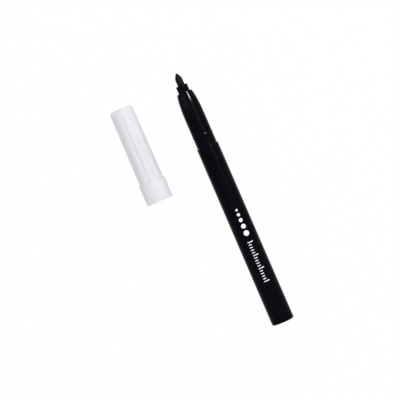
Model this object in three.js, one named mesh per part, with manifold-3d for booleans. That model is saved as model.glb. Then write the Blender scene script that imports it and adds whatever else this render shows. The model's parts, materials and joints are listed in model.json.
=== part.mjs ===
// A felt-tip pen lying on a table with its cap off beside it.
// Millimetres, +Z up. The pen's axis runs along Y with the nib toward +Y, the cap lies on the -X side.
// The origin is the middle of the underside of the whole set's box, on the table.

import * as THREE from 'three';
import { mergeVertices } from 'three/addons/utils/BufferGeometryUtils.js';
import Module from 'manifold-3d';

const wasm = await Module();
wasm.setup();

// Fits, all measured on the radius or along the axis
const fitGap = 0.1; // pressed or seated pieces
const slipGap = 0.2; // pieces that slide in loosely
const capGap = 0.1; // cap bore round the neck, less than the snap bead is high
const sealGap = 0.25; // seal lip round the collar

// Barrel
const barrelLength = 94.75;
const barrelFrontDiameter = 11.3;
const barrelRearDiameter = 11.65;
const barrelBore = 9.6;
const barrelFrontRound = 0.2;
const barrelRearRound = 0.12;

// Nose section: spigot, neck, rounded nose and collar
const spigotLength = 10;
const neckDiameter = 10.4;
const neckLength = 9.95;
const noseWall = 1.1;
const noseLength = 19;
const noseFaceDiameter = 7.9;
const noseEdgeRound = 0.28;
const noseCurve = 4; // power of the nose's rounding, 1 is a plain cone
const collarDiameter = 5.95;
const collarLength = 3.75;
const collarRound = 0.25;
const nibHolderLength = 11.5; // length of the bore that grips the nib
const snapBeadPlace = 5.75; // in front of the barrel's front face
const snapBeadHeight = 0.15;
const snapBeadWidth = 1.2;

// Nib
const nibDiameter = 3.6;
const nibReach = 6.55; // how far it stands out of the collar
const nibTipDiameter = 0.9;
const nibTaperLength = 3.4;
const nibTaperCurve = 1.7;
const nibSoakLength = 12; // how deep its tail goes into the reservoir

// End plug
const plugFlangeLength = 1.2;
const plugEdgeRound = 0.65;
const plugFaceDiameter = 8.7;
const plugFaceRise = 0.15;
const plugSpigotLength = 8;
const plugWall = 1.2;

// Ink reservoir, its film and its air tube
const wrapThickness = 0.2;
const wrapSetback = 1.0; // bare fibre left at each end of the film
const breatherDiameter = 1.4;
const breatherBore = 0.7;
const breatherShare = 0.7; // of the reservoir's length

// Cap
const mouthDepth = 8.35; // how far the mouth goes over the barrel
const mouthDiameter = 13.55; // the ring's outside at the mouth
const ringDiameter = 13.75; // and where its slope begins
const ringLength = 10.1;
const ringSlopeLength = 1.5;
const mouthRound = 0.15;
const capBaseDiameter = 12.55; // over the lobes, beside the ring
const capTopDiameter = 11.9; // over the lobes, at the closed end
const capEndRound = 1.5;
const capEndWall = 0.9;
const fullBoreShare = 0.65; // of the nose's length, where the cap's bore starts to narrow
const postingGap = 0.15; // mouth bore round the barrel's thickest end
const lobeCount = 8;
const lobeDepth = 0.33; // of the dips between the lobes, beside the ring
const lobeTopDepth = 0.25; // and at the closed end
const lobeCrownShare = 0.28; // of a lobe's width, left round between two dips
const lobeFadeLength = 4; // from full depth to none, before the closed end's rounding
const firstLobeAngle = 9; // degrees, middle of one lobe, from straight up toward +X
const snapGrooveDepth = 0.15;
const snapGrooveWidth = 1.8;

// Seal inside the cap
const sealWall = 0.7;
const sealEndWall = 0.8;
const sealTipGap = 0.5; // between the nib's tip and the seal's end
const sealLipLength = 1.5;
const sealLipSetback = 0.3; // from the nose's face
const sealLipStep = 0.25;
const sealSocketDepth = 5;

// Where the cap lies beside the pen
const capAside = 32.6; // between the two axes
const capBehindTip = 5.4; // from the nib's tip back to the cap's closed end

// Smoothness
const wideSides = 48;
const narrowSides = 24;
const tinySides = 12;
const roundSteps = 3;
const sidesPerLobe = 8;
const slopeSteps = 4;
const endSteps = 4;

// Places along the pen, from the barrel's front face toward the nib
const neckFront = neckLength;
const noseFront = neckFront + noseLength;
const collarFront = noseFront + collarLength;
const nibTip = collarFront + nibReach;
const nibHolderBack = collarFront - nibHolderLength;
const reservoirBore = neckDiameter - 2 * noseWall;
const plugSeam = -barrelLength - fitGap;
const plugFront = plugSeam + plugSpigotLength;
const plugBack = plugSeam - plugFlangeLength;
const wrapDiameter = reservoirBore - 2 * slipGap;
const coreDiameter = wrapDiameter - 2 * (wrapThickness + fitGap);
const boreConeLength = (reservoirBore - nibDiameter) / 2;
const reservoirSeat = nibHolderBack - boreConeLength;
const coreFront = reservoirSeat - fitGap;
const coreBack = plugFront + fitGap;
const nibTail = coreFront - nibSoakLength;

// Places along the cap, from its mouth toward its closed end
const sealBack = mouthDepth + noseFront + sealLipSetback;
const sealFront = mouthDepth + nibTip + sealTipGap + sealEndWall;
const capInnerEnd = sealFront + fitGap;
const capLength = capInnerEnd + capEndWall;
const sealBore = collarDiameter + 2 * (sealGap + sealLipStep);
const sealDiameter = sealBore + 2 * sealWall;
const socketBore = sealDiameter + 2 * fitGap;
const mouthBore = barrelRearDiameter + 2 * postingGap;
const bodyBore = neckDiameter + 2 * capGap;
const socketBack = capInnerEnd - sealSocketDepth;
const boreTaperStart = mouthDepth + neckFront + fullBoreShare * noseLength;
const snapGroovePlace = mouthDepth + snapBeadPlace;

const degrees = Math.PI / 180;

// Points of an arc in a profile, angles in degrees from straight out toward +Y
function arc(centreRadius, centreY, radius, fromAngle, toAngle, steps = roundSteps) {
  const points = [];
  for (let step = 0; step <= steps; step++) {
    const angle = (fromAngle + ((toAngle - fromAngle) * step) / steps) * degrees;
    points.push([centreRadius + radius * Math.cos(angle), centreY + radius * Math.sin(angle)]);
  }
  return points;
}

// Points of a curve given by a function of a share that runs from 0 to 1
function curve(steps, pointAt) {
  return Array.from({ length: steps + 1 }, (_, step) => pointAt(step / steps));
}

// Shared corners merged, and triangles that closed up on the axis dropped
function weld(geometry) {
  geometry.deleteAttribute('normal');
  geometry.deleteAttribute('uv');
  const merged = mergeVertices(geometry, 1e-4);
  const corners = merged.index.array;
  const kept = [];
  for (let first = 0; first < corners.length; first += 3) {
    const [a, b, c] = corners.slice(first, first + 3);
    if (a !== b && b !== c && c !== a) kept.push(a, b, c);
  }
  merged.setIndex(kept);
  return merged;
}

// A piece turned about the Y axis from [radius, y] points. reshape may change a corner's radius.
function turned(profile, sides, startAngle = 0, reshape = null) {
  const points = profile.map(([radius, y]) => new THREE.Vector2(radius, y));
  const geometry = new THREE.LatheGeometry(points, sides, startAngle);
  if (reshape) {
    const corners = geometry.attributes.position;
    for (let corner = 0; corner < corners.count; corner++) {
      const x = corners.getX(corner);
      const z = corners.getZ(corner);
      const radius = Math.hypot(x, z);
      if (radius < 1e-6) continue;
      const wanted = reshape(radius, Math.atan2(x, z), corners.getY(corner), corner % points.length);
      corners.setX(corner, (x * wanted) / radius);
      corners.setZ(corner, (z * wanted) / radius);
    }
  }
  return weld(geometry);
}

function toSolid(geometry) {
  return new wasm.Manifold(
    new wasm.Mesh({
      numProp: 3,
      vertProperties: Float32Array.from(geometry.attributes.position.array),
      triVerts: Uint32Array.from(geometry.index.array),
    }),
  );
}

function fromSolid(solid) {
  const mesh = solid.getMesh();
  const geometry = new THREE.BufferGeometry();
  geometry.setAttribute('position', new THREE.BufferAttribute(mesh.vertProperties, 3));
  geometry.setIndex(new THREE.BufferAttribute(mesh.triVerts, 1));
  return geometry;
}

function piece(name, geometry, look) {
  geometry.computeVertexNormals();
  const mesh = new THREE.Mesh(geometry, new THREE.MeshStandardMaterial(look));
  mesh.name = name;
  return mesh;
}

// Barrel: an open tube, thicker toward the butt
function barrelTube() {
  const frontRadius = barrelFrontDiameter / 2;
  const rearRadius = barrelRearDiameter / 2;
  const boreRadius = barrelBore / 2;
  const profile = [
    ...arc(rearRadius - barrelRearRound, -barrelLength + barrelRearRound, barrelRearRound, -90, 0),
    ...arc(frontRadius - barrelFrontRound, -barrelFrontRound, barrelFrontRound, 0, 90),
    [boreRadius, 0],
    [boreRadius, -barrelLength],
  ];
  profile.push(profile[0]);
  const look = { color: 0x15131a, roughness: 0.38, metalness: 0 };
  return piece('barrel_tube', turned(profile, wideSides), look);
}

// Radius of the rounded nose, a distance behind its front face
function noseRadius(behindFace) {
  const drop = (neckDiameter - noseFaceDiameter) / 2;
  return neckDiameter / 2 - drop * (1 - behindFace / noseLength) ** noseCurve;
}

// Nose section: spigot, neck with its snap bead, rounded nose and collar, bored for the nib
function noseSection() {
  const spigotRadius = barrelBore / 2 - fitGap;
  const neckRadius = neckDiameter / 2;
  const collarRadius = collarDiameter / 2;
  const boreRadius = reservoirBore / 2;
  const nibBoreRadius = nibDiameter / 2 + fitGap;
  const beadPoint = (share) => [
    neckRadius + snapBeadHeight * Math.sin(share * Math.PI),
    snapBeadPlace + (share - 0.5) * snapBeadWidth,
  ];
  const nosePoint = (share) => [
    noseRadius(noseLength - (noseLength - noseEdgeRound) * share),
    neckFront + (noseLength - noseEdgeRound) * share,
  ];
  const edgeRadius = noseRadius(noseEdgeRound) - noseEdgeRound;
  const profile = [
    [boreRadius, -spigotLength],
    [spigotRadius - fitGap, -spigotLength],
    [spigotRadius, -spigotLength + slipGap],
    [spigotRadius, fitGap],
    [neckRadius, fitGap],
    ...curve(4, beadPoint),
    ...curve(10, nosePoint),
    ...arc(edgeRadius, noseFront - noseEdgeRound, noseEdgeRound, 15, 90),
    [collarRadius, noseFront],
    ...arc(collarRadius - collarRound, collarFront - collarRound, collarRound, 0, 90, 2),
    [nibBoreRadius, collarFront],
    [nibBoreRadius, nibHolderBack],
    [boreRadius, reservoirSeat],
    [boreRadius, -spigotLength],
  ];
  const look = { color: 0x17151c, roughness: 0.34, metalness: 0 };
  return piece('nose_section', turned(profile, wideSides), look);
}

// Nib: a bullet point on a stem whose tail soaks in the reservoir
function nib() {
  const stemRadius = nibDiameter / 2;
  const tipRadius = nibTipDiameter / 2;
  const tipPoints = arc(0, nibTip - tipRadius, tipRadius, 20, 90, 3);
  const taperStart = nibTip - nibTaperLength;
  const [taperEndRadius, taperEnd] = tipPoints[0];
  const taperPoint = (share) => [
    stemRadius - (stemRadius - taperEndRadius) * share ** nibTaperCurve,
    taperStart + (taperEnd - taperStart) * share,
  ];
  const profile = [
    [0, nibTail],
    [stemRadius - slipGap, nibTail],
    [stemRadius, nibTail + slipGap],
    ...curve(5, taperPoint),
    ...tipPoints.slice(1, -1),
    [0, nibTip],
  ];
  const look = { color: 0x24222a, roughness: 0.9, metalness: 0 };
  return piece('nib', turned(profile, narrowSides), look);
}

// End plug: a flange with a hollow spigot pressed into the barrel's butt
function endPlug() {
  const flangeRadius = barrelRearDiameter / 2;
  const spigotRadius = barrelBore / 2 - fitGap;
  const hollowRadius = spigotRadius - plugWall;
  const faceRadius = plugFaceDiameter / 2;
  const profile = [
    [0, plugBack],
    [faceRadius, plugBack],
    ...arc(flangeRadius - plugEdgeRound, plugBack + plugFaceRise + plugEdgeRound, plugEdgeRound, -90, 0, 4),
    [flangeRadius, plugSeam],
    [spigotRadius, plugSeam],
    [spigotRadius, plugFront - slipGap],
    [spigotRadius - slipGap, plugFront],
    [hollowRadius, plugFront],
    [hollowRadius, plugSeam],
    [0, plugSeam],
  ];
  const look = { color: 0x15131a, roughness: 0.4, metalness: 0 };
  return piece('end_plug', turned(profile, wideSides), look);
}

// Height of the air tube's axis over the pen's axis
const breatherHeight = coreDiameter / 2 - breatherDiameter / 2 - fitGap;
const breatherLength = breatherShare * (coreFront - coreBack);

// Ink reservoir: a fibre rod with a pocket for the nib's tail and a groove for the air tube
function inkReservoir() {
  const coreRadius = coreDiameter / 2;
  const pocketRadius = nibDiameter / 2 + fitGap;
  const profile = [
    [0, coreBack],
    [coreRadius, coreBack],
    [coreRadius, coreFront],
    [pocketRadius, coreFront],
    [pocketRadius, nibTail - fitGap],
    [0, nibTail - fitGap],
  ];
  const grooveRadius = breatherDiameter / 2 + fitGap;
  const grooveLength = breatherLength + fitGap;
  const outline = new THREE.Shape();
  outline.moveTo(grooveRadius, -coreDiameter);
  outline.lineTo(grooveRadius, -breatherHeight);
  outline.absarc(0, -breatherHeight, grooveRadius, 0, Math.PI, false);
  outline.lineTo(-grooveRadius, -coreDiameter);
  const settings = { depth: 2 * grooveLength, bevelEnabled: false, curveSegments: tinySides / 2 };
  const groove = new THREE.ExtrudeGeometry(outline, settings);
  groove.rotateX(-Math.PI / 2);
  groove.translate(0, coreFront - grooveLength, 0);
  const core = toSolid(turned(profile, narrowSides)).subtract(toSolid(weld(groove)));
  const look = { color: 0x1a1820, roughness: 1, metalness: 0 };
  return piece('ink_reservoir', fromSolid(core), look);
}

// A plain tube between two places along the pen
function sleeve(name, outerDiameter, innerDiameter, back, front, sides, look) {
  const profile = [
    [outerDiameter / 2, back],
    [outerDiameter / 2, front],
    [innerDiameter / 2, front],
    [innerDiameter / 2, back],
    [outerDiameter / 2, back],
  ];
  return piece(name, turned(profile, sides), look);
}

function reservoirWrap() {
  const look = { color: 0xc9ccd2, roughness: 0.3, metalness: 0 };
  const inner = wrapDiameter - 2 * wrapThickness;
  const back = coreBack + wrapSetback;
  const front = coreFront - wrapSetback;
  return sleeve('reservoir_wrap', wrapDiameter, inner, back, front, narrowSides, look);
}

function breatherTube() {
  const look = { color: 0xe4e2da, roughness: 0.5, metalness: 0 };
  const back = coreFront - breatherLength;
  const tube = sleeve('breather_tube', breatherDiameter, breatherBore, back, coreFront, tinySides, look);
  tube.position.z = breatherHeight;
  return tube;
}

// How far a lobed surface dips at an angle, as a share: 0 on a lobe's crown, 1 midway between two lobes
function lobeDip(angle) {
  const pitch = (2 * Math.PI) / lobeCount;
  const turns = (angle - firstLobeAngle * degrees) / pitch;
  const fromValley = 1 - 2 * Math.abs(turns - Math.round(turns));
  const reach = Math.min(1, fromValley / (1 - lobeCrownShare));
  return (1 + Math.cos(Math.PI * reach)) / 2;
}

// Cap: a lobed body closed at one end, with a plain ring round the mouth
function capShell() {
  const ringRadius = ringDiameter / 2;
  const baseRadius = capBaseDiameter / 2;
  const topRadius = capTopDiameter / 2;
  const slopeEnd = ringLength + ringSlopeLength;
  const endStart = capLength - capEndRound;
  const taper = (topRadius - baseRadius) / (endStart - slopeEnd);
  const bodyRadius = (y) => baseRadius + taper * (y - slopeEnd);
  const depthChange = (lobeTopDepth - lobeDepth) / (endStart - slopeEnd);
  const depthAt = (y) => lobeDepth + depthChange * (y - slopeEnd);
  const grooveRadius = bodyBore / 2 + snapGrooveDepth;
  const grooveStart = snapGroovePlace - snapGrooveWidth / 2;
  const grooveEnd = snapGroovePlace + snapGrooveWidth / 2;
  const slopePoint = (share) => [
    ringRadius + (baseRadius - lobeDepth - ringRadius) * share,
    ringLength + ringSlopeLength * share,
  ];
  const inside = [
    [0, capInnerEnd],
    [socketBore / 2, capInnerEnd],
    [socketBore / 2, socketBack],
    [bodyBore / 2, boreTaperStart],
    [bodyBore / 2, grooveEnd],
    [grooveRadius, grooveEnd - snapGrooveDepth],
    [grooveRadius, grooveStart + snapGrooveDepth],
    [bodyBore / 2, grooveStart],
    [bodyBore / 2, mouthDepth],
    [mouthBore / 2, mouthDepth],
    [mouthBore / 2, 0],
  ];
  const ring = arc(mouthDiameter / 2 - mouthRound, mouthRound, mouthRound, -90, 0);
  const slope = curve(slopeSteps, slopePoint);
  const fadeStart = endStart - lobeFadeLength;
  const lobeTop = [bodyRadius(fadeStart) - lobeDepth, fadeStart];
  const end = arc(topRadius - capEndRound, endStart, capEndRound, 0, 90, endSteps);
  const lobedFirst = inside.length + ring.length;
  const lobedLast = lobedFirst + slope.length;
  const lobed = (radius, angle, y, point) => {
    if (point < lobedFirst || point > lobedLast) return radius;
    return Math.max(radius, bodyRadius(y) - depthAt(y) * lobeDip(angle));
  };
  const profile = [...inside, ...ring, ...slope, lobeTop, ...end, [0, capLength]];
  const sides = lobeCount * sidesPerLobe;
  const look = { color: 0xe6e3ea, roughness: 0.45, metalness: 0 };
  return piece('cap_shell', turned(profile, sides, firstLobeAngle * degrees, lobed), look);
}

// Seal: a thimble in the cap's closed end, with a lip that grips the collar
function capSeal() {
  const outerRadius = sealDiameter / 2;
  const boreRadius = sealBore / 2;
  const lipRadius = boreRadius - sealLipStep;
  const lipFront = sealBack + sealLipLength;
  const profile = [
    [0, sealFront - sealEndWall],
    [boreRadius, sealFront - sealEndWall],
    [boreRadius, lipFront + sealLipStep],
    [lipRadius, lipFront],
    [lipRadius, sealBack],
    [outerRadius - sealLipStep, sealBack],
    [outerRadius, sealBack + sealLipStep],
    [outerRadius, sealFront],
    [0, sealFront],
  ];
  const look = { color: 0xd8d6cf, roughness: 0.55, metalness: 0 };
  return piece('cap_seal', turned(profile, wideSides), look);
}

// Tilt that brings two places on the underside of a round piece level
function levelTilt(backRadius, frontRadius, apart) {
  return Math.atan((backRadius - frontRadius) / apart);
}

// Nose down by a tilt, and lifted or lowered onto the table
function layDown(group, tilt) {
  group.rotation.x = -tilt;
  group.updateMatrixWorld(true);
  group.position.z -= new THREE.Box3().setFromObject(group, true).min.z;
}

const pen = new THREE.Group();
pen.add(barrelTube(), noseSection(), nib(), endPlug(), inkReservoir(), reservoirWrap(), breatherTube());
layDown(pen, levelTilt(barrelRearDiameter / 2, barrelFrontDiameter / 2, barrelLength));

const cap = new THREE.Group();
cap.add(capShell(), capSeal());
cap.position.set(-capAside, nibTip - capBehindTip - capLength, 0);
layDown(cap, levelTilt(ringDiameter / 2, capTopDiameter / 2, capLength - capEndRound - ringLength));

const set = new THREE.Group();
set.add(pen, cap);
set.updateMatrixWorld(true);
const box = new THREE.Box3().setFromObject(set, true);
const middle = box.getCenter(new THREE.Vector3());
set.position.set(-middle.x, -middle.y, -box.min.z);

export default set;
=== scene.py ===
# A felt-tip pen lying on a white table, its white cap taken off and laid beside it.
# Lengths in the dictionaries are millimetres, and noise scales are per millimetre, unless a note
# says otherwise. A noise's middle stretch below 1 draws its grain out along the piece.
import json
import math

import bmesh
import bpy
from mathutils import Matrix, Vector, noise


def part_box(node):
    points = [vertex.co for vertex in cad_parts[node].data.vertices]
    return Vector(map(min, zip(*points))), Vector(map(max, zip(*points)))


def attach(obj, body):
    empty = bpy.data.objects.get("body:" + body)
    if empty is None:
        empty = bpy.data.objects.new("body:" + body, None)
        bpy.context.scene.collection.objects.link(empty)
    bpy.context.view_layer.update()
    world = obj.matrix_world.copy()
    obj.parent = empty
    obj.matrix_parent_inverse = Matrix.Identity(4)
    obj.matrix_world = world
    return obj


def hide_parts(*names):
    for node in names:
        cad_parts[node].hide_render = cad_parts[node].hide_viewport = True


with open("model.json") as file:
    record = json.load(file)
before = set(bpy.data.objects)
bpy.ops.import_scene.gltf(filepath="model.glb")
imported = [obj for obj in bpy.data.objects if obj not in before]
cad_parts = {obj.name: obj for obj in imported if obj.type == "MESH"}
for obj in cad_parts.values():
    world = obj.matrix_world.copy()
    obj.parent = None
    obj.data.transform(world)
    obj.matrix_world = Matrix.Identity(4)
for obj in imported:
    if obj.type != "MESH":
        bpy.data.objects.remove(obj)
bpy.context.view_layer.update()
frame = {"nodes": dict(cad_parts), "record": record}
print("frame loaded with", len(frame["nodes"]), "nodes")

mm = 0.001  # one millimetre in metres, the unit of the scene


# Places: pen and cap each have an origin on their axis, with +Y along it toward the nib's end

def lieAlong(point, direction):
    # the small tilt is turned into the mesh, so an object's matrix only places and scales it
    alongAxis = Vector(direction).normalized()
    acrossAxis = Vector((1, 0, 0))
    upward = acrossAxis.cross(alongAxis).normalized()
    tilt = Matrix((acrossAxis, alongAxis, upward)).transposed().to_4x4()
    return {"tilt": tilt, "matrix": Matrix.Translation(point) @ Matrix.Scale(mm, 4)}


mounts = {mount["name"]: mount for mount in frame["record"]["mounts"]}
buttPoint = Vector(mounts["butt_face"]["pos_m"])
penDirection = -Vector(mounts["butt_face"]["axis"]).normalized()
capEndPoint = Vector(mounts["cap_end_face"]["pos_m"])
capDirection = Vector(mounts["cap_end_face"]["axis"]).normalized()
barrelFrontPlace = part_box("barrel_tube")[1].y
buttToBarrelFront = (barrelFrontPlace - buttPoint.y) / mm
penPlace = lieAlong(buttPoint + penDirection * buttToBarrelFront * mm, penDirection)


# Shader maths: a Wire is one output socket, and sums of wires add their Math nodes

class Wire:
    def __init__(self, tree, socket):
        self.tree = tree
        self.socket = socket

    def maths(self, operation, first, second=0.0):
        return addNode(self.tree, "ShaderNodeMath", {"operation": operation}, {0: first, 1: second})

    def __add__(self, other):
        return self.maths("ADD", self, other)

    __radd__ = __add__

    def __sub__(self, other):
        return self.maths("SUBTRACT", self, other)

    def __rsub__(self, other):
        return self.maths("SUBTRACT", other, self)

    def __mul__(self, other):
        return self.maths("MULTIPLY", self, other)

    __rmul__ = __mul__

    def __abs__(self):
        return self.maths("ABSOLUTE", self)

    def least(self, other):
        return self.maths("MINIMUM", self, other)

    def most(self, other):
        return self.maths("MAXIMUM", self, other)

    def clipped(self):
        return self.least(1.0).most(0.0)

    def ramp(self, start, end):  # 0 at start, 1 at end, smooth between
        sockets = {"Value": self, "From Min": start, "From Max": end}
        smooth = {"interpolation_type": "SMOOTHSTEP"}
        return addNode(self.tree, "ShaderNodeMapRange", smooth, sockets, "Result")


def addNode(tree, kind, settings=None, sockets=None, take=0):
    node = tree.nodes.new(kind)
    for name, value in (settings or {}).items():
        setattr(node, name, value)
    for name, value in (sockets or {}).items():
        if isinstance(value, Wire):
            tree.links.new(value.socket, node.inputs[name])
        else:
            node.inputs[name].default_value = value
    return Wire(tree, node.outputs[take])


def mixColours(tree, share, first, second):  # shades are (red, green, blue)
    sockets = {0: share}
    for place, shade in ((6, first), (7, second)):
        sockets[place] = shade if isinstance(shade, Wire) else colour(*shade)
    return addNode(tree, "ShaderNodeMix", {"data_type": "RGBA"}, sockets, 2)


def colour(red, green, blue):
    return (red, green, blue, 1.0)


def newFinish(name):
    material = bpy.data.materials.new(name)
    material.use_nodes = True
    tree = material.node_tree
    shader = tree.nodes["Principled BSDF"]
    return material, tree, shader


def feed(tree, shader, **values):  # spaces in a socket's name are written as underscores
    for name, value in values.items():
        socket = shader.inputs[name.replace("_", " ")]
        if isinstance(value, Wire):
            tree.links.new(value.socket, socket)
        else:
            socket.default_value = value


def localPoint(tree):
    return addNode(tree, "ShaderNodeTexCoord", take="Object")


def stretchedNoise(tree, point, scale, stretch, detail=4.0, roughness=0.55):
    moved = addNode(tree, "ShaderNodeMapping", None, {"Vector": point, "Scale": stretch})
    sockets = {"Vector": moved, "Scale": scale, "Detail": detail, "Roughness": roughness}
    return addNode(tree, "ShaderNodeTexNoise", None, sockets, "Fac")


def bumpFrom(tree, height, strength, depth, under=None):  # depth in millimetres
    sockets = {"Height": height, "Strength": strength, "Distance": depth * mm}
    if under:
        sockets["Normal"] = under
    return addNode(tree, "ShaderNodeBump", None, sockets)


def alongOf(tree, point):  # millimetres along the piece
    return addNode(tree, "ShaderNodeSeparateXYZ", None, {"Vector": point}, "Y")


# Mesh making

def roundOff(corners, steps=5):
    # corners are (radius, along, rounding); a rounding of 0 keeps the corner sharp
    beside = 0.02  # one more point on each side keeps the plain faces' shading plain
    points = []
    for index, (radius, along, rounding) in enumerate(corners):
        here = Vector((radius, along))
        if not rounding:
            points.append(here)
            continue
        before = Vector(corners[index - 1][:2])
        after = Vector(corners[(index + 1) % len(corners)][:2])
        back = (before - here).normalized()
        onward = (after - here).normalized()
        start = here + back * rounding
        end = here + onward * rounding
        points.append(start + back * beside)
        for step in range(steps + 1):
            share = step / steps
            first = start.lerp(here, share)
            points.append(first.lerp(here.lerp(end, share), share))
        points.append(end + onward * beside)
    return [(point.x, point.y) for point in points]


def turnPiece(name, profile, around, place, radiusAt=None, sharpAngle=35):
    # profile runs from axis to axis, or closes on itself
    mesh = bmesh.new()
    rings = []
    for index, (radius, along) in enumerate(profile):
        if radius == 0:
            rings.append([mesh.verts.new((0, along, 0))])
            continue
        ring = []
        for side in range(around):
            angle = 2 * math.pi * side / around
            reach = radiusAt(radius, angle, along, index) if radiusAt else radius
            ring.append(mesh.verts.new((reach * math.sin(angle), along, reach * math.cos(angle))))
        rings.append(ring)
    if len(rings[0]) > 1:
        rings.append(rings[0])
    for first, second in zip(rings, rings[1:]):
        for side in range(around):
            following = (side + 1) % around
            corners = [first[side % len(first)], first[following % len(first)]]
            corners += [second[following % len(second)], second[side % len(second)]]
            distinct = list(dict.fromkeys(corners))
            if len(distinct) > 2:
                mesh.faces.new(distinct)
    bmesh.ops.recalc_face_normals(mesh, faces=mesh.faces)
    return finishPiece(name, mesh, place, sharpAngle)


def finishPiece(name, mesh, place, sharpAngle=35):
    data = bpy.data.meshes.new(name)
    mesh.transform(place["tilt"])
    mesh.to_mesh(data)
    mesh.free()
    data.shade_smooth()
    data.set_sharp_from_angle(angle=math.radians(sharpAngle))
    piece = bpy.data.objects.new(name, data)
    piece.matrix_world = place["matrix"]
    bpy.context.scene.collection.objects.link(piece)
    return piece


def dress(piece, material, body, slotName, *nodes):
    piece.data.materials.clear()
    piece.data.materials.append(material)
    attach(piece, body)
    if nodes:
        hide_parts(*nodes)


# Finishes

blackPlastic = {
    "shade": (0.0010, 0.0005, 0.0034),
    "cloudShade": (0.0024, 0.0011, 0.0040),
    "wornShade": (0.030, 0.028, 0.033),
    "gloss": 0.035,  # specular level
    "roughness": 0.13,
    "roughnessSpread": 0.05,
    "wornRoughness": 0.4,  # added where it is fully worn
    "cloud": {"scale": 0.12, "stretch": (1, 0.35, 1), "detail": 3.0},
    "cloudRange": (0.35, 0.75),
    "grain": {"scale": 1.2, "stretch": (1, 0.5, 1), "detail": 4.0},
    "grainStrength": 0.35,
    "mouldLines": {"scale": 2.2, "stretch": (1, 0.02, 1), "detail": 3.0},
    "lineStrength": 0.25,
    "depth": 0.006,  # of grain and mould lines
    "scratches": {"scale": 1.4, "stretch": (1, 0.10, 1), "detail": 6.0, "roughness": 0.75},
    "scratchRange": (0.70, 0.85),
    "scratchShare": 0.12,
    "chips": {"scale": 1.3, "stretch": (1, 1.5, 1), "detail": 4.0, "roughness": 0.7},
    "chipRange": (0.56, 0.72),
    "chipShare": 0.8,
    "wearReach": 0.45,  # how far chips run from a rim
}


def blackPlasticFinish(name, settings, rims=()):
    # rims are places along the piece whose edges have rubbed a little pale
    material, tree, shader = newFinish(name)
    point = localPoint(tree)
    cloud = stretchedNoise(tree, point, **settings["cloud"])
    grain = stretchedNoise(tree, point, **settings["grain"])
    mouldLines = stretchedNoise(tree, point, **settings["mouldLines"])
    scratches = stretchedNoise(tree, point, **settings["scratches"]).ramp(*settings["scratchRange"])
    base = mixColours(tree, cloud.ramp(*settings["cloudRange"]), settings["shade"], settings["cloudShade"])
    worn = scratches * settings["scratchShare"]
    if rims:
        along = alongOf(tree, point)
        nearness = 0.0
        for rim in rims:
            nearness = (1 - abs(along - rim).ramp(0.0, settings["wearReach"])).most(nearness)
        chips = stretchedNoise(tree, point, **settings["chips"]).ramp(*settings["chipRange"])
        worn = (nearness * chips * settings["chipShare"]).most(worn)
    base = mixColours(tree, worn, base, settings["wornShade"])
    rough = settings["roughness"] + (cloud - 0.5) * settings["roughnessSpread"]
    rough = rough + worn * settings["wornRoughness"]
    lines = bumpFrom(tree, mouldLines, settings["lineStrength"], settings["depth"])
    bump = bumpFrom(tree, grain, settings["grainStrength"], settings["depth"], lines)
    feed(tree, shader, Base_Color=base, Roughness=rough, Normal=bump)
    feed(tree, shader, Specular_IOR_Level=settings["gloss"])
    return material


whitePlastic = {
    "shade": (0.80, 0.78, 0.828),
    "deepShade": (0.765, 0.742, 0.79),
    "gloss": 0.03,
    "roughness": 0.5,
    "roughnessSpread": 0.12,
    "cloud": {"scale": 0.10, "stretch": (1, 0.5, 1), "detail": 3.0},
    "cloudRange": (0.35, 0.75),
    "cloudShare": 0.6,
    "flow": {"scale": 0.8, "stretch": (1, 0.08, 1), "detail": 4.0},
    "flowRange": (0.5, 0.8),
    "flowShare": 0.25,
    "grain": {"scale": 1.8, "stretch": (1, 1, 1), "detail": 5.0, "roughness": 0.6},
    "grainStrength": 0.4,
    "grainDepth": 0.015,
}


def whitePlasticFinish(name, settings):
    material, tree, shader = newFinish(name)
    point = localPoint(tree)
    cloud = stretchedNoise(tree, point, **settings["cloud"])
    grain = stretchedNoise(tree, point, **settings["grain"])
    flow = stretchedNoise(tree, point, **settings["flow"])
    share = cloud.ramp(*settings["cloudRange"]) * settings["cloudShare"]
    share = share + flow.ramp(*settings["flowRange"]) * settings["flowShare"]
    base = mixColours(tree, share, settings["shade"], settings["deepShade"])
    rough = settings["roughness"] + (flow - 0.5) * settings["roughnessSpread"]
    bump = bumpFrom(tree, grain, settings["grainStrength"], settings["grainDepth"])
    feed(tree, shader, Base_Color=base, Roughness=rough, Normal=bump)
    feed(tree, shader, Specular_IOR_Level=settings["gloss"])
    return material


# Gate marks: a shallow dish with a pip in it, where the plastic went into the mould

gateMark = {
    "round": 0.08,
    "floorShare": 0.8,  # of the dish's diameter
    "pipRound": 0.05,
    "pipSink": 0.4,  # how far the pip's top lies down, as a share of the dish's depth
}


def gateCorners(piece, face, inward):  # from the dish's rim to the axis
    rim = piece["gateDiameter"] / 2
    floor = face + inward * piece["gateDepth"]
    pip = face + inward * piece["gateDepth"] * gateMark["pipSink"]
    return [
        (rim, face, gateMark["round"]),
        (rim * gateMark["floorShare"], floor, gateMark["round"]),
        (rim * piece["pipFootShare"], floor, gateMark["pipRound"]),
        (rim * piece["pipTopShare"], pip, gateMark["pipRound"]),
        (0, pip, 0),
    ]


# Barrel

barrel = {
    "length": 94.75,
    "frontDiameter": 11.3,
    "rearDiameter": 11.65,
    "bore": 9.6,
    "frontRound": 0.22,
    "rearRound": 0.15,
    "boreRound": 0.08,
    "sides": 192,
}


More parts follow.
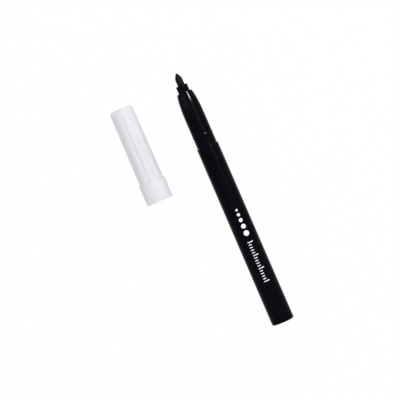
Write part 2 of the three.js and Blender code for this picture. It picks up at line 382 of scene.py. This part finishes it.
def makeBarrel(settings):
    front = settings["frontDiameter"] / 2
    rear = settings["rearDiameter"] / 2
    bore = settings["bore"] / 2
    length = settings["length"]
    corners = [
        (bore, -length, settings["boreRound"]),
        (rear, -length, settings["rearRound"]),
        (front, 0, settings["frontRound"]),
        (bore, 0, settings["boreRound"]),
    ]
    piece = turnPiece("barrel", roundOff(corners), settings["sides"], penPlace)
    finish = blackPlasticFinish("barrelBlack", blackPlastic, (0, -length))
    dress(piece, finish, "pen", "barrel_plastic", "barrel_tube")


makeBarrel(barrel)
print("barrel made")


# Plain white marks on the barrel: dots of growing size, then a short rule

marks = {
    "turn": 5.0,  # degrees from straight up toward +X
    "proud": 0.015,
    "edge": 0.05,  # over which a mark slopes down to the plastic
    "dotSides": 36,
    "barPitch": 0.2,  # between a bar's points round the barrel
    "dotsStart": 34.65,  # behind the barrel's front
    "dotSizes": (1.1, 1.5, 1.9, 2.3, 2.7),
    "dotGap": 1.2,
    "ruleStart": 52.45,
    "rulePitch": 1.4,
    "ruleTicks": 15,  # after the first
    "longEvery": 5,  # ticks
    "longTick": 2.7,
    "shortTick": 1.5,
    "stroke": 0.36,
    "sharpAngle": 60,
}


def onBarrel(across, along, proud):  # across and along in millimetres from the marks' middle line
    share = -along / barrel["length"]
    diameter = barrel["frontDiameter"] + (barrel["rearDiameter"] - barrel["frontDiameter"]) * share
    radius = diameter / 2 + proud
    angle = math.radians(marks["turn"]) + across / radius
    return (radius * math.sin(angle), along, radius * math.cos(angle))


def markDot(mesh, along, radius, settings):
    around = settings["dotSides"]
    middle = mesh.verts.new(onBarrel(0, along, settings["proud"]))
    rings = []
    for spread, proud in ((radius / 2, 1), (radius, 1), (radius + settings["edge"], 0)):
        ring = []
        for side in range(around):
            turn = 2 * math.pi * side / around
            place = (spread * math.cos(turn), along + spread * math.sin(turn))
            ring.append(mesh.verts.new(onBarrel(*place, settings["proud"] * proud)))
        rings.append(ring)
    for side in range(around):
        following = (side + 1) % around
        mesh.faces.new((middle, rings[0][side], rings[0][following]))
        for inner, outer in zip(rings, rings[1:]):
            mesh.faces.new((inner[side], outer[side], outer[following], inner[following]))


def markBar(mesh, left, right, rear, front, settings):
    edge = settings["edge"]
    steps = max(2, round((right - left) / settings["barPitch"]))
    acrosses = [left + (right - left) * step / steps for step in range(steps + 1)]
    acrosses = [left - edge] + acrosses + [right + edge]
    alongs = [rear - edge, rear, front, front + edge]
    grid = []
    for row, along in enumerate(alongs):
        line = []
        for column, across in enumerate(acrosses):
            atEdge = row in (0, len(alongs) - 1) or column in (0, len(acrosses) - 1)
            line.append(mesh.verts.new(onBarrel(across, along, 0 if atEdge else settings["proud"])))
        grid.append(line)
    for lower, upper in zip(grid, grid[1:]):
        for column in range(len(acrosses) - 1):
            mesh.faces.new((lower[column], lower[column + 1], upper[column + 1], upper[column]))


whiteInk = {
    "shade": (0.90, 0.90, 0.91),
    "thinShade": (0.80, 0.80, 0.82),
    "bareShade": (0.03, 0.03, 0.03),  # the plastic in a pinhole
    "gloss": 0.3,
    "roughness": 0.45,
    "roughnessSpread": 0.2,
    "cloud": {"scale": 0.8, "stretch": (1, 1, 1), "detail": 3.0},
    "pinholes": {"scale": 9.0, "stretch": (1, 1, 1), "detail": 4.0, "roughness": 0.7},
    "pinholeRange": (0.66, 0.76),
    "pinholeShare": 0.7,
}


def whiteInkFinish(name, settings):
    material, tree, shader = newFinish(name)
    point = localPoint(tree)
    cloud = stretchedNoise(tree, point, **settings["cloud"])
    pinholes = stretchedNoise(tree, point, **settings["pinholes"]).ramp(*settings["pinholeRange"])
    ink = mixColours(tree, cloud, settings["shade"], settings["thinShade"])
    base = mixColours(tree, pinholes * settings["pinholeShare"], ink, settings["bareShade"])
    rough = settings["roughness"] + cloud * settings["roughnessSpread"]
    feed(tree, shader, Base_Color=base, Roughness=rough, Specular_IOR_Level=settings["gloss"])
    return material


def makeMarks(settings):
    mesh = bmesh.new()
    place = -settings["dotsStart"]
    for size in settings["dotSizes"]:
        markDot(mesh, place - size / 2, size / 2, settings)
        place -= size + settings["dotGap"]
    half = settings["stroke"] / 2
    foot = -settings["longTick"] / 2
    start = -settings["ruleStart"]
    for tick in range(settings["ruleTicks"] + 1):
        along = start - settings["rulePitch"] * tick
        height = settings["shortTick"] if tick % settings["longEvery"] else settings["longTick"]
        markBar(mesh, foot, foot + height, along - half, along + half, settings)
    bmesh.ops.recalc_face_normals(mesh, faces=mesh.faces)
    piece = finishPiece("barrel_marks", mesh, penPlace, settings["sharpAngle"])
    dress(piece, whiteInkFinish("whiteInk", whiteInk), "pen", "")


makeMarks(marks)
print("marks made")


# Nose section: spigot, neck with its snap bead, rounded nose, collar

nose = {
    "spigotLength": 10.0,
    "spigotDiameter": 9.4,
    "neckDiameter": 10.4,
    "neckLength": 9.95,
    "seam": 0.1,  # open line between barrel and neck
    "length": 19.0,
    "faceDiameter": 7.9,
    "curve": 4.0,  # power of the nose's fall, higher is straighter with a rounder front
    "edgeLength": 0.28,  # of the nose's front, kept out of the curve for its rounding
    "faceRound": 0.252,
    "collarFootRound": 0.12,
    "collarDiameter": 5.95,
    "collarLength": 3.75,
    "collarRound": 0.22,
    "nibBoreRound": 0.1,
    "spigotBoreRound": 0.1,
    "spigotRound": 0.2,
    "seamRound": 0.05,
    "bore": 8.2,
    "nibBore": 3.8,
    "nibHolderLength": 11.5,
    "coneLength": 2.3,
    "beadPlace": 5.75,
    "beadHeight": 0.15,
    "beadWidth": 1.2,
    "sides": 192,
}


def makeNose(settings):
    neck = settings["neckDiameter"] / 2
    bore = settings["bore"] / 2
    nibBore = settings["nibBore"] / 2
    collar = settings["collarDiameter"] / 2
    spigot = settings["spigotDiameter"] / 2
    front = settings["neckLength"] + settings["length"]
    collarFront = front + settings["collarLength"]
    holderBack = collarFront - settings["nibHolderLength"]
    drop = neck - settings["faceDiameter"] / 2
    profile = roundOff(
        [
            (bore, -settings["spigotLength"], settings["spigotBoreRound"]),
            (spigot, -settings["spigotLength"], settings["spigotRound"]),
            (spigot, settings["seam"], settings["seamRound"]),
            (neck, settings["seam"], settings["seamRound"]),
            (neck, settings["beadPlace"], 0),
        ]
    )[:-1]
    beadSteps = 12
    for step in range(beadSteps + 1):
        share = step / beadSteps
        swell = settings["beadHeight"] * math.sin(share * math.pi) ** 2
        profile.append((neck + swell, settings["beadPlace"] + (share - 0.5) * settings["beadWidth"]))
    noseSteps = 28
    curveLength = settings["length"] - settings["edgeLength"]
    for step in range(noseSteps + 1):
        along = curveLength * step / noseSteps
        radius = neck - drop * (along / settings["length"]) ** settings["curve"]
        profile.append((radius, settings["neckLength"] + along))
    face = neck - drop
    profile += roundOff(
        [
            (profile[-1][0], profile[-1][1], 0),
            (face, front, settings["faceRound"]),
            (collar, front, settings["collarFootRound"]),
            (collar, collarFront, settings["collarRound"]),
            (nibBore, collarFront, settings["nibBoreRound"]),
            (nibBore, holderBack, 0),
            (bore, holderBack - settings["coneLength"], 0),
            (bore, -settings["spigotLength"], 0),
        ]
    )[1:-1]
    piece = turnPiece("nose", profile, settings["sides"], penPlace)
    finish = blackPlasticFinish("noseBlack", blackPlastic, (settings["beadPlace"], front, collarFront))
    dress(piece, finish, "pen", "nose_plastic", "nose_section")
    return collarFront


collarFront = makeNose(nose)
print("nose made")


# Nib: bonded fibre, parallel to the axis, worn a little at the tip

nibSizes = {
    "diameter": 3.6,
    "reach": 6.55,  # of the tip, ahead of the collar's front
    "tail": 25.9,  # behind the collar's front
    "tailChamfer": 0.2,
    "roughFrom": 1.0,  # behind the collar's front, where the rough surface starts
    "tipDiameter": 0.9,
    "tipAngle": 20,  # degrees, of the taper where the tip's ball takes over
    "taperLength": 3.4,
    "taperCurve": 1.7,
    "fuzz": 0.03,  # the most that the surface sinks
    "fuzzAround": 3.0,  # how fast it changes across the fibres, per millimetre
    "fuzzAlong": 0.8,
    "sides": 96,
    "sharpAngle": 60,
}

inkedFibre = {
    "shade": (0.0025, 0.0022, 0.0034),
    "paleShade": (0.012, 0.011, 0.015),
    "gloss": 0.04,
    "roughness": 0.75,
    "roughnessSpread": 0.2,
    "fibres": {"scale": 7.0, "stretch": (1, 0.05, 1), "detail": 4.0, "roughness": 0.65},
    "fibreRange": (0.35, 0.7),
    "fibreShare": 0.7,
    "fibreStrength": 0.6,
    "fibreDepth": 0.06,
    "clumps": {"scale": 1.6, "stretch": (1, 0.15, 1), "detail": 3.0},
    "clumpRange": (0.4, 0.75),
    "clumpShare": 0.4,
    "pores": {"scale": 12.0, "stretch": (1, 1, 1), "detail": 2.0},
    "poreStrength": 0.25,
    "poreDepth": 0.03,
}


def inkedFibreFinish(name, settings):
    material, tree, shader = newFinish(name)
    point = localPoint(tree)
    fibres = stretchedNoise(tree, point, **settings["fibres"])
    clumps = stretchedNoise(tree, point, **settings["clumps"])
    pores = stretchedNoise(tree, point, **settings["pores"])
    share = fibres.ramp(*settings["fibreRange"]) * settings["fibreShare"]
    share = share + clumps.ramp(*settings["clumpRange"]) * settings["clumpShare"]
    base = mixColours(tree, share.clipped(), settings["shade"], settings["paleShade"])
    fibreBump = bumpFrom(tree, fibres, settings["fibreStrength"], settings["fibreDepth"])
    bump = bumpFrom(tree, pores, settings["poreStrength"], settings["poreDepth"], fibreBump)
    rough = settings["roughness"] + (clumps - 0.5) * settings["roughnessSpread"]
    feed(tree, shader, Base_Color=base, Roughness=rough, Normal=bump)
    feed(tree, shader, Specular_IOR_Level=settings["gloss"])
    return material


def makeNib(settings):
    stem = settings["diameter"] / 2
    tip = settings["tipDiameter"] / 2
    tipPlace = collarFront + settings["reach"]
    tail = collarFront - settings["tail"]
    chamfer = settings["tailChamfer"]
    startAngle = math.radians(settings["tipAngle"])
    taperStart = tipPlace - settings["taperLength"]
    taperEnd = tipPlace - tip + tip * math.sin(startAngle)
    taperRadius = tip * math.cos(startAngle)
    profile = [(0, tail), (stem - chamfer, tail), (stem, tail + chamfer)]
    smoothRings = len(profile)
    stemStart = collarFront - settings["roughFrom"]
    stemSteps = 24
    for step in range(stemSteps):
        profile.append((stem, stemStart + (taperStart - stemStart) * step / stemSteps))
    taperSteps = 24
    for step in range(taperSteps + 1):
        share = step / taperSteps
        radius = stem - (stem - taperRadius) * share ** settings["taperCurve"]
        profile.append((radius, taperStart + (taperEnd - taperStart) * share))
    tipSteps = 8
    for step in range(1, tipSteps):
        angle = startAngle + (math.pi / 2 - startAngle) * step / tipSteps
        profile.append((tip * math.cos(angle), tipPlace - tip + tip * math.sin(angle)))
    profile.append((0, tipPlace))

    def fuzzy(radius, angle, along, index):
        if index < smoothRings:
            return radius
        reach = radius * settings["fuzzAround"]
        spot = Vector((reach * math.sin(angle), along * settings["fuzzAlong"], reach * math.cos(angle)))
        return radius - settings["fuzz"] * (0.5 + 0.5 * noise.noise(spot))

    piece = turnPiece("nib_fibre", profile, settings["sides"], penPlace, fuzzy, settings["sharpAngle"])
    dress(piece, inkedFibreFinish("inkedFibre", inkedFibre), "pen", "nib_fibre", "nib")


makeNib(nibSizes)
print("nib made")


# End plug: flange, hollow spigot, and the gate mark in the middle of its face

plug = {
    "diameter": 11.65,
    "flangeLength": 1.2,
    "seam": 0.1,
    "flangeRound": 0.06,
    "seamRound": 0.05,
    "shoulder": 0.65,  # along, between the face's rim and the flange's full width
    "shoulderRound": 0.34,
    "chamfer": 0.195,  # how far the face's rim lies inside the flange
    "chamferRound": 0.26,
    "faceDiameter": 8.7,
    "faceRise": 0.15,
    "faceRound": 0.5,
    "spigotDiameter": 9.4,
    "spigotLength": 8.0,
    "spigotRound": 0.2,
    "hollowDiameter": 7.0,
    "hollowRimRound": 0.1,
    "hollowFloorRound": 0.2,
    "gateDiameter": 2.2,
    "gateDepth": 0.2,
    "pipFootShare": 0.35,  # shares of the gate mark's diameter
    "pipTopShare": 0.25,
    "wearPlace": 0.39,  # ahead of the face
    "sides": 192,
}


def makePlug(settings):
    seam = -barrel["length"] - settings["seam"]
    back = seam - settings["flangeLength"]
    front = seam + settings["spigotLength"]
    outer = settings["diameter"] / 2
    spigot = settings["spigotDiameter"] / 2
    hollow = settings["hollowDiameter"] / 2
    rim = back + settings["faceRise"]
    corners = list(reversed(gateCorners(settings, back, 1)))
    corners += [
        (settings["faceDiameter"] / 2, back, settings["faceRound"]),
        (outer - settings["chamfer"], rim, settings["chamferRound"]),
        (outer, rim + settings["shoulder"], settings["shoulderRound"]),
        (outer, seam, settings["flangeRound"]),
        (spigot, seam, settings["seamRound"]),
        (spigot, front, settings["spigotRound"]),
        (hollow, front, settings["hollowRimRound"]),
        (hollow, seam, settings["hollowFloorRound"]),
        (0, seam, 0),
    ]
    piece = turnPiece("butt_plug", roundOff(corners), settings["sides"], penPlace)
    finish = blackPlasticFinish("plugBlack", blackPlastic, (back + settings["wearPlace"],))
    dress(piece, finish, "pen", "plug_plastic", "end_plug")


makePlug(plug)
print("plug made")


# Cap: lobed body, plain ring, bore with its snap groove

cap = {
    "length": 49.9,
    "mouthDiameter": 13.55,
    "ringDiameter": 13.75,
    "ringLength": 10.1,
    "slopeLength": 1.5,
    "mouthRound": 0.15,
    "mouthBoreRound": 0.25,
    "baseDiameter": 12.55,
    "topDiameter": 11.9,
    "endRound": 1.5,
    "endWall": 0.9,
    "mouthBore": 11.95,
    "mouthDepth": 8.35,
    "stepRound": 0.15,  # where the mouth's bore steps down to the body's
    "stepFootRound": 0.1,
    "bodyBore": 10.6,
    "bodyBoreRound": 0.3,
    "taperStart": 30.65,  # from here the bore narrows to the seal's socket
    "grooveDepth": 0.15,
    "grooveWidth": 1.8,
    "groovePlace": 14.1,
    "grooveRound": 0.08,
    "socketBore": 8.55,
    "socketDepth": 5.0,
    "socketRound": 0.15,
    "socketFloorRound": 0.2,
    "lobes": 8,
    "lobeDepth": 0.33,  # beside the ring
    "lobeTopDepth": 0.25,  # at the closed end
    "crownShare": 0.28,  # of a lobe's width, left round between two dips
    "lobeFade": 4.0,  # length over which the lobes run out before the rounded end
    "firstLobe": 9.0,  # degrees from straight up toward +X
    "lobeSoftness": 0.05,  # rounds the line where a lobe runs out on the slope
    "gateDiameter": 2.0,
    "gateDepth": 0.18,
    "pipFootShare": 0.4,
    "pipTopShare": 0.3,
    "sides": 256,
    "sharpAngle": 40,
}
capPlace = lieAlong(capEndPoint - capDirection * cap["length"] * mm, capDirection)


def lobeDip(angle, share, settings):  # share runs from 0 beside the ring to 1 at the closed end
    turns = (angle - math.radians(settings["firstLobe"])) * settings["lobes"] / (2 * math.pi)
    fromValley = 1 - 2 * abs(turns - round(turns))
    reach = min(1, fromValley / (1 - settings["crownShare"]))
    depth = settings["lobeDepth"] + (settings["lobeTopDepth"] - settings["lobeDepth"]) * share
    return depth * (1 + math.cos(math.pi * reach)) / 2


def makeCap(settings):
    mouth = settings["mouthDiameter"] / 2
    ring = settings["ringDiameter"] / 2
    base = settings["baseDiameter"] / 2
    top = settings["topDiameter"] / 2
    length = settings["length"]
    mouthBore = settings["mouthBore"] / 2
    bodyBore = settings["bodyBore"] / 2
    socket = settings["socketBore"] / 2
    innerEnd = length - settings["endWall"]
    socketBack = innerEnd - settings["socketDepth"]
    grooveStart = settings["groovePlace"] - settings["grooveWidth"] / 2
    grooveEnd = grooveStart + settings["grooveWidth"]
    grooveRadius = bodyBore + settings["grooveDepth"]
    slopeEnd = settings["ringLength"] + settings["slopeLength"]
    endStart = length - settings["endRound"]
    taper = (top - base) / (endStart - slopeEnd)
    inside = roundOff(
        [
            (0, innerEnd, 0),
            (socket, innerEnd, settings["socketFloorRound"]),
            (socket, socketBack, settings["socketRound"]),
            (bodyBore, settings["taperStart"], settings["bodyBoreRound"]),
            (bodyBore, grooveEnd, settings["grooveRound"]),
            (grooveRadius, grooveEnd - settings["grooveDepth"], settings["grooveRound"]),
            (grooveRadius, grooveStart + settings["grooveDepth"], settings["grooveRound"]),
            (bodyBore, grooveStart, settings["grooveRound"]),
            (bodyBore, settings["mouthDepth"], settings["stepRound"]),
            (mouthBore, settings["mouthDepth"], settings["stepFootRound"]),
            (mouthBore, 0, settings["mouthBoreRound"]),
            (mouth, 0, settings["mouthRound"]),
            (ring, settings["ringLength"], 0),
        ]
    )[:-1]
    ringSteps = 4
    ringStart = 1.0  # past the mouth's rounding
    outside = []
    for step in range(ringSteps + 1):
        along = ringStart + (settings["ringLength"] - ringStart) * step / ringSteps
        outside.append((mouth + (ring - mouth) * along / settings["ringLength"], along))
    slopeSteps = 14
    for step in range(1, slopeSteps + 1):
        share = step / slopeSteps
        fall = share * share * (3 - 2 * share)
        radius = ring + (base - settings["lobeDepth"] - ring) * fall
        outside.append((radius, settings["ringLength"] + settings["slopeLength"] * share))
    bodySteps = 20
    bodyEnd = endStart - settings["lobeFade"]
    within = 0.5  # any radius well inside the lobes, which set the surface here
    for step in range(1, bodySteps + 1):
        outside.append((within, slopeEnd + (bodyEnd - slopeEnd) * step / bodySteps))
    fadeSteps = 6
    for step in range(1, fadeSteps + 1):
        outside.append((within, bodyEnd + settings["lobeFade"] * step / fadeSteps))
    lobedFirst = len(inside) + ringSteps + 1
    lobedLast = len(inside) + len(outside)
    end = []
    endSteps = 10
    for step in range(1, endSteps + 1):
        angle = math.pi / 2 * step / endSteps
        reach = top - settings["endRound"] * (1 - math.cos(angle))
        end.append((reach, endStart + settings["endRound"] * math.sin(angle)))
    beside = 0.02  # one more ring keeps the flat end's shading flat
    flatRim = (top - settings["endRound"] - beside, length, 0)
    end += roundOff([flatRim] + gateCorners(settings, length, -1))

    def lobed(radius, angle, along, index):
        if index < lobedFirst or index >= lobedLast:
            return radius
        fade = min(1, max(0, (endStart - along) / settings["lobeFade"]))
        fade = fade * fade * (3 - 2 * fade)
        share = (along - slopeEnd) / (endStart - slopeEnd)
        body = base + taper * (along - slopeEnd) - lobeDip(angle, share, settings) * fade
        return (radius + body + math.hypot(radius - body, settings["lobeSoftness"])) / 2

    profile = inside + outside + end
    piece = turnPiece("cap_body", profile, settings["sides"], capPlace, lobed, settings["sharpAngle"])
    dress(piece, whitePlasticFinish("capWhite", whitePlastic), "cap", "cap_plastic", "cap_shell")


makeCap(cap)
print("cap made")


# Seal inside the cap

seal = {
    "back": 37.6,
    "front": 48.9,
    "endWall": 0.8,
    "diameter": 8.35,
    "bore": 6.95,
    "lipBore": 6.45,
    "lipLength": 1.5,
    "lipSlope": 0.25,
    "lipRound": 0.1,
    "mouthRound": 0.15,
    "edgeRound": 0.25,
    "backRound": 0.1,
    "floorRound": 0.3,
    "sides": 128,
}

naturalSeal = {
    "shade": (0.72, 0.71, 0.67),
    "deepShade": (0.62, 0.61, 0.58),
    "inkShade": (0.05, 0.045, 0.06),
    "gloss": 0.3,
    "roughness": 0.5,
    "roughnessSpread": 0.15,
    "cloud": {"scale": 0.4, "stretch": (1, 1, 1), "detail": 4.0},
    "cloudStrength": 0.15,
    "cloudDepth": 0.02,
    "stain": {"scale": 0.9, "stretch": (1, 0.4, 1), "detail": 4.0, "roughness": 0.6},
    "stainRange": (0.5, 0.72),
    "stainShare": 0.75,
}


def naturalSealFinish(name, settings):
    material, tree, shader = newFinish(name)
    point = localPoint(tree)
    cloud = stretchedNoise(tree, point, **settings["cloud"])
    stain = stretchedNoise(tree, point, **settings["stain"]).ramp(*settings["stainRange"])
    clean = mixColours(tree, cloud, settings["shade"], settings["deepShade"])
    base = mixColours(tree, stain * settings["stainShare"], clean, settings["inkShade"])
    rough = settings["roughness"] + cloud * settings["roughnessSpread"]
    bump = bumpFrom(tree, cloud, settings["cloudStrength"], settings["cloudDepth"])
    feed(tree, shader, Base_Color=base, Roughness=rough, Normal=bump)
    feed(tree, shader, Specular_IOR_Level=settings["gloss"])
    return material


def makeSeal(settings):
    outer = settings["diameter"] / 2
    bore = settings["bore"] / 2
    lip = settings["lipBore"] / 2
    lipFront = settings["back"] + settings["lipLength"]
    corners = [
        (0, settings["front"] - settings["endWall"], 0),
        (bore, settings["front"] - settings["endWall"], settings["floorRound"]),
        (bore, lipFront + settings["lipSlope"], settings["lipRound"]),
        (lip, lipFront, settings["lipRound"]),
        (lip, settings["back"], settings["mouthRound"]),
        (outer, settings["back"], settings["edgeRound"]),
        (outer, settings["front"], settings["backRound"]),
        (0, settings["front"], 0),
    ]
    piece = turnPiece("seal_cup", roundOff(corners), settings["sides"], capPlace)
    dress(piece, naturalSealFinish("naturalSeal", naturalSeal), "cap", "seal_plastic", "cap_seal")


makeSeal(seal)
print("seal made")


# Pieces that never show: the reservoir, its film and its air tube keep the frame's shapes. These are
# in metres, so their noise scales are per metre.

hiddenPieces = {
    "ink_reservoir": {
        "finish": "soakedRod",
        "shade": (0.012, 0.011, 0.015),
        "otherShade": (0.04, 0.037, 0.047),
        "roughness": 0.85,
        "grain": {"scale": 4000.0, "stretch": (1, 0.04, 1), "detail": 4.0},
        "grainStrength": 0.5,
        "grainDepth": 0.05,
    },
    "reservoir_wrap": {
        "finish": "clearFilm",
        "shade": (0.55, 0.57, 0.61),
        "otherShade": (0.66, 0.68, 0.71),
        "roughness": 0.2,
        "roughnessSpread": 0.2,
        "grain": {"scale": 500.0, "stretch": (1, 0.3, 1), "detail": 3.0},
        "grainStrength": 0.4,
        "grainDepth": 0.1,
    },
    "breather_tube": {
        "finish": "naturalTube",
        "shade": (0.74, 0.73, 0.68),
        "otherShade": (0.66, 0.65, 0.60),
        "roughness": 0.45,
        "roughnessSpread": 0.15,
        "grain": {"scale": 900.0, "stretch": (1, 0.2, 1), "detail": 3.0},
    },
}


def hiddenFinish(settings):
    material, tree, shader = newFinish(settings["finish"])
    grain = stretchedNoise(tree, localPoint(tree), **settings["grain"])
    base = mixColours(tree, grain, settings["shade"], settings["otherShade"])
    feed(tree, shader, Base_Color=base, Roughness=settings["roughness"])
    if "roughnessSpread" in settings:
        feed(tree, shader, Roughness=settings["roughness"] + grain * settings["roughnessSpread"])
    if "grainDepth" in settings:
        bump = bumpFrom(tree, grain, settings["grainStrength"], settings["grainDepth"])
        feed(tree, shader, Normal=bump)
    return material


for node, settings in hiddenPieces.items():
    frame["nodes"][node].data.materials.clear()
    frame["nodes"][node].data.materials.append(hiddenFinish(settings))
print("hidden pieces dressed")


# Table: white for the eye and for reflections, and it keeps the shadows

white = (1.0, 1.0, 1.0)
table = {
    "halfWidth": 3.0,  # metres
    "squares": 8,  # each way
    "shade": (0.9, 0.9, 0.9),
    "roughness": 0.9,
    "glow": 0.962,  # share of plain white that is seen over the lit table
}


def seenDirectly(tree):
    camera = addNode(tree, "ShaderNodeLightPath", take="Is Camera Ray")
    glossy = addNode(tree, "ShaderNodeLightPath", take="Is Glossy Ray")
    through = addNode(tree, "ShaderNodeLightPath", take="Is Transmission Ray")
    return camera.most(glossy).most(through)


def makeTable(settings):
    mesh = bmesh.new()
    squares = settings["squares"]
    bmesh.ops.create_grid(mesh, x_segments=squares, y_segments=squares, size=settings["halfWidth"])
    piece = finishPiece("table_top", mesh, {"tilt": Matrix.Identity(4), "matrix": Matrix.Identity(4)})
    material, tree, shader = newFinish("tableWhite")
    feed(tree, shader, Base_Color=colour(*settings["shade"]), Roughness=settings["roughness"])
    feed(tree, shader, Specular_IOR_Level=0.0)
    glow = addNode(tree, "ShaderNodeEmission", None, {"Color": colour(*white)}, "Emission")
    plain = Wire(tree, shader.outputs["BSDF"])
    share = seenDirectly(tree) * settings["glow"]
    mixed = addNode(tree, "ShaderNodeMixShader", None, {"Fac": share, 1: plain, 2: glow})
    tree.links.new(mixed.socket, tree.nodes["Material Output"].inputs["Surface"])
    piece.data.materials.append(material)


makeTable(table)


# World and lamps

skyStrength = 0.58  # as light on the object; seen directly it is plain white


def makeSky(strength):
    world = bpy.data.worlds.new("studio")
    world.use_nodes = True
    tree = world.node_tree
    shown = seenDirectly(tree) * (1 - strength) + strength
    background = tree.nodes["Background"]
    background.inputs["Color"].default_value = colour(*white)
    tree.links.new(shown.socket, background.inputs["Strength"])
    bpy.context.scene.world = world


makeSky(skyStrength)

lampsAim = Vector((0, 0, 5.0)) * mm
lamps = {  # distances and sizes in metres, a size's first number along the pen
    "over": {
        "toward": (0.10, 0.12, 0.988),
        "distance": 1.5,
        "size": (1.0, 1.0),
        "brightness": 2.0,
        "lights": "diffuse",
    },
    "side": {
        "toward": (0.70, 0.12, 0.70),
        "distance": 1.5,
        "size": (1.0, 1.0),
        "brightness": 1.33,
        "lights": "diffuse",
    },
    "glint": {
        "toward": (0.545, 0.44, 0.71),
        "distance": 1.0,
        "size": (0.28, 0.12),
        "turn": -14.0,  # degrees, about the lamp's own direction
        "brightness": 320.0,
        "lights": "gloss",
    },
    "streak": {
        "toward": (0.54, 0.18, 0.82),
        "distance": 1.0,
        "size": (0.36, 0.40),
        "brightness": 1.7,
        "lights": "gloss",
    },
    "ahead": {
        "toward": (-0.62, 0.34, 0.71),
        "distance": 1.0,
        "size": (0.36, 1.4),
        "brightness": 1.15,
        "lights": "gloss",
    },
}


def makeLamp(name, settings):
    light = bpy.data.lights.new(name, "AREA")
    light.shape = "RECTANGLE"
    light.size = settings["size"][0]
    light.size_y = settings["size"][1]
    light.energy = 4 * settings["brightness"] * light.size * light.size_y  # brightness 1 looks white
    lamp = bpy.data.objects.new(name, light)
    toward = Vector(settings["toward"]).normalized()
    lamp.location = lampsAim + toward * settings["distance"]
    along = (Vector((0, 1, 0)) - toward * toward.y).normalized()
    facing = Matrix((along, toward.cross(along), toward)).transposed()
    turn = Matrix.Rotation(math.radians(settings.get("turn", 0.0)), 3, "Z")
    lamp.rotation_euler = (facing @ turn).to_euler()
    lamp.visible_diffuse = settings["lights"] == "diffuse"
    lamp.visible_glossy = settings["lights"] == "gloss"
    lamp.visible_camera = False
    bpy.context.scene.collection.objects.link(lamp)


for name, settings in lamps.items():
    makeLamp(name, settings)
print("table and lamps made")


# Camera: high above and a little ahead, looking back, and turned so that the pen leans as it does in
# the photograph

photo = {
    "pixels": 400,
    "millimetresPerPixel": 0.5,
    "lean": 23.38,  # degrees, pen's axis from the picture's upright
    "centreBehindTip": 62.9,  # from the nib's tip to the picture's centre, along the pen
    "centreAside": 14.14,  # from the pen's axis to the picture's centre, toward the cap
    "standAhead": 22.0,  # the camera stands this far ahead of the centre and looks back at it
    "lens": 150.0,
    "sensor": 36.0,
    "clip": (0.01, 20.0),  # metres
}


def makeCamera(settings):
    width = settings["pixels"] * settings["millimetresPerPixel"] * mm
    camera = bpy.data.cameras.new("above")
    camera.lens = settings["lens"]
    camera.sensor_width = settings["sensor"]
    holder = bpy.data.objects.new("above", camera)
    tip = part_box("nib")[1].y
    across = buttPoint.x - settings["centreAside"] * mm
    along = tip - settings["centreBehindTip"] * mm
    height = width * settings["lens"] / settings["sensor"] + buttPoint.z
    ahead = settings["standAhead"] * mm
    lean = Matrix.Rotation(math.radians(-settings["lean"]), 3, "Z")
    lookBack = Matrix.Rotation(math.atan(-ahead / height), 3, "X")
    holder.location = (across, along + ahead, height)
    holder.rotation_euler = (lookBack @ lean).to_euler()
    camera.clip_start, camera.clip_end = settings["clip"]
    bpy.context.scene.collection.objects.link(holder)
    bpy.context.scene.camera = holder


makeCamera(photo)
bpy.context.scene.view_settings.view_transform = "Standard"

print("scene ready")
